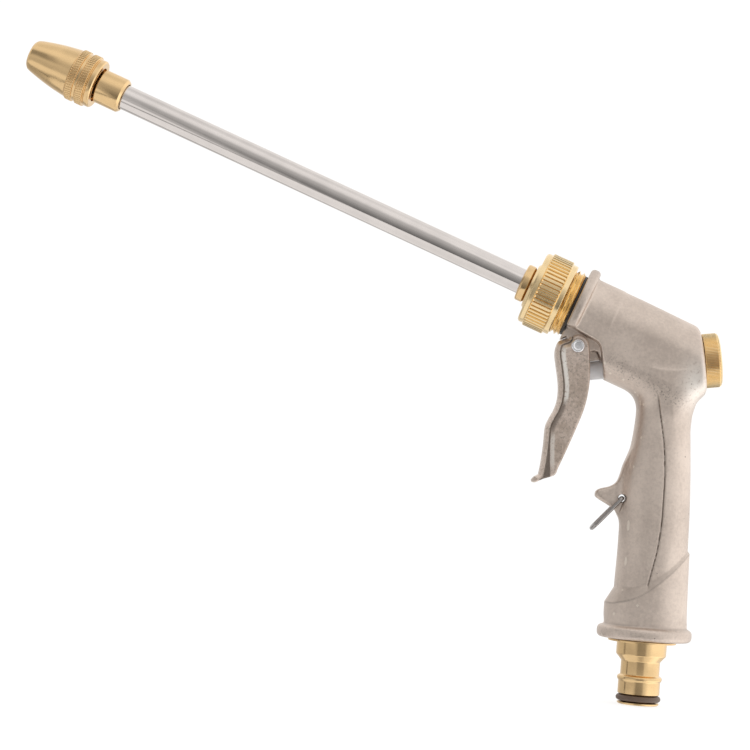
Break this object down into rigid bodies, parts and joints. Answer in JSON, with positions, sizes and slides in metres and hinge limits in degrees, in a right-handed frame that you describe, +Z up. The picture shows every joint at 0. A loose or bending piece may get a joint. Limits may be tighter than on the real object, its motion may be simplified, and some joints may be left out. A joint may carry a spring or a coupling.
{
  "type": "hose spray nozzle",
  "caption": "Cast spray gun with a trigger valve, flow knob and wire catch on its pistol grip, a quick-connect hose tail, and a thin wand with a twist nozzle on a union nut.",
  "frame": {"origin": "in the plane of the hose connector's end face (the floor), below the middle of the overall length; the inlet bore's axis stands 116.97 mm from it along +X", "axes": "+Z up the inlet bore towards the body, -X towards the sprayed side, Y = 0 the plane of symmetry"},
  "size_m": [0.281, 0.0332, 0.2406],
  "materials": {
    "cast_body": "satin nickel over a zinc casting, fine grain",
    "cast_trigger": "darker satin nickel over a zinc casting, grainy",
    "turned_brass": "bright turned brass, straight knurls on nut and knob",
    "tube_steel": "polished stainless steel",
    "spring_steel": "plain spring steel",
    "catch_wire": "dark drawn wire",
    "rivet": "bright, dimpled head",
    "seal_rubber": "dull black",
    "white_nylon": "slightly waxy white"
  },
  "bodies": {
    "housing": {"body_casting": "cast_body", "hose_connector": "turned_brass", "connector_oring": "seal_rubber", "inlet_washer": "seal_rubber", "outlet_spigot": "turned_brass", "spigot_gasket": "seal_rubber", "trigger_pin": "rivet", "gland_oring": "seal_rubber", "valve_seat": "turned_brass"},
    "trigger": {"trigger_lever": "cast_trigger"},
    "valve": {"push_plunger": "white_nylon", "valve_stem": "turned_brass", "valve_disc": "seal_rubber", "disc_retainer": "turned_brass", "valve_spring": "spring_steel"},
    "catch": {"wire_catch": "catch_wire"},
    "knob_thread": {"spring_seat": "spring_steel"},
    "knob": {"flow_knob": "turned_brass", "knob_oring": "seal_rubber"},
    "nut_thread": {"slip_ring": "spring_steel"},
    "nut": {"collar_nut": "turned_brass"},
    "wand": {"wand_ferrule": "turned_brass", "wand_tube": "tube_steel", "nozzle_stem": "turned_brass", "nozzle_oring": "seal_rubber", "union_washer": "seal_rubber"},
    "sleeve_thread": {"stop_ring": "spring_steel"},
    "sleeve": {"nozzle_sleeve": "turned_brass"}
  },
  "joints": [
    {"name": "trigger_squeeze", "type": "hinge", "parent": "housing", "child": "trigger", "pos_m": [0.08407, 0, 0.1353], "axis": [0, -1, 0], "range_deg": [0, 22]},
    {"name": "valve_push", "type": "slide", "parent": "housing", "child": "valve", "axis": [0.9874, 0, 0.1582], "range_m": [0, 0.0038], "deforming": ["valve_spring"]},
    {"name": "catch_swing", "type": "hinge", "parent": "housing", "child": "catch", "pos_m": [0.10527, 0, 0.0783], "axis": [0, 1, 0], "range_deg": [-20, 56]},
    {"name": "knob_travel", "type": "slide", "parent": "housing", "child": "knob_thread", "axis": [0.9874, 0, 0.1582], "range_m": [0, 0.00313]},
    {"name": "knob_turn", "type": "hinge", "parent": "knob_thread", "child": "knob", "pos_m": [0.13007, 0, 0.13295], "axis": [0.9874, 0, 0.1582], "range_deg": [0, 905]},
    {"name": "nut_travel", "type": "slide", "parent": "housing", "child": "nut_thread", "axis": [-0.9345, 0, 0.3559], "range_m": [0, 0.00907]},
    {"name": "nut_turn", "type": "hinge", "parent": "nut_thread", "child": "nut", "pos_m": [0.13007, 0, 0.1327], "axis": [-0.9345, 0, 0.3559], "range_deg": [0, 1805]},
    {"name": "wand_spin", "type": "hinge", "parent": "housing", "child": "wand", "pos_m": [0.13007, 0, 0.1327], "axis": [-0.9345, 0, 0.3559], "continuous": true},
    {"name": "sleeve_travel", "type": "slide", "parent": "wand", "child": "sleeve_thread", "axis": [-0.9345, 0, 0.3559], "range_m": [-0.00225, 0.003]},
    {"name": "sleeve_turn", "type": "hinge", "parent": "sleeve_thread", "child": "sleeve", "pos_m": [0.13007, 0, 0.1327], "axis": [-0.9345, 0, 0.3559], "range_deg": [-545, 725]}
  ],
  "couplings": [
    {"joint": "valve_push", "follows": "trigger_squeeze", "m_per_rad": 0.0096},
    {"joint": "knob_turn", "follows": "knob_travel", "rad_per_m": 5026.5},
    {"joint": "nut_turn", "follows": "nut_travel", "rad_per_m": 3463.7},
    {"joint": "sleeve_turn", "follows": "sleeve_travel", "rad_per_m": 4188.8}
  ]
}
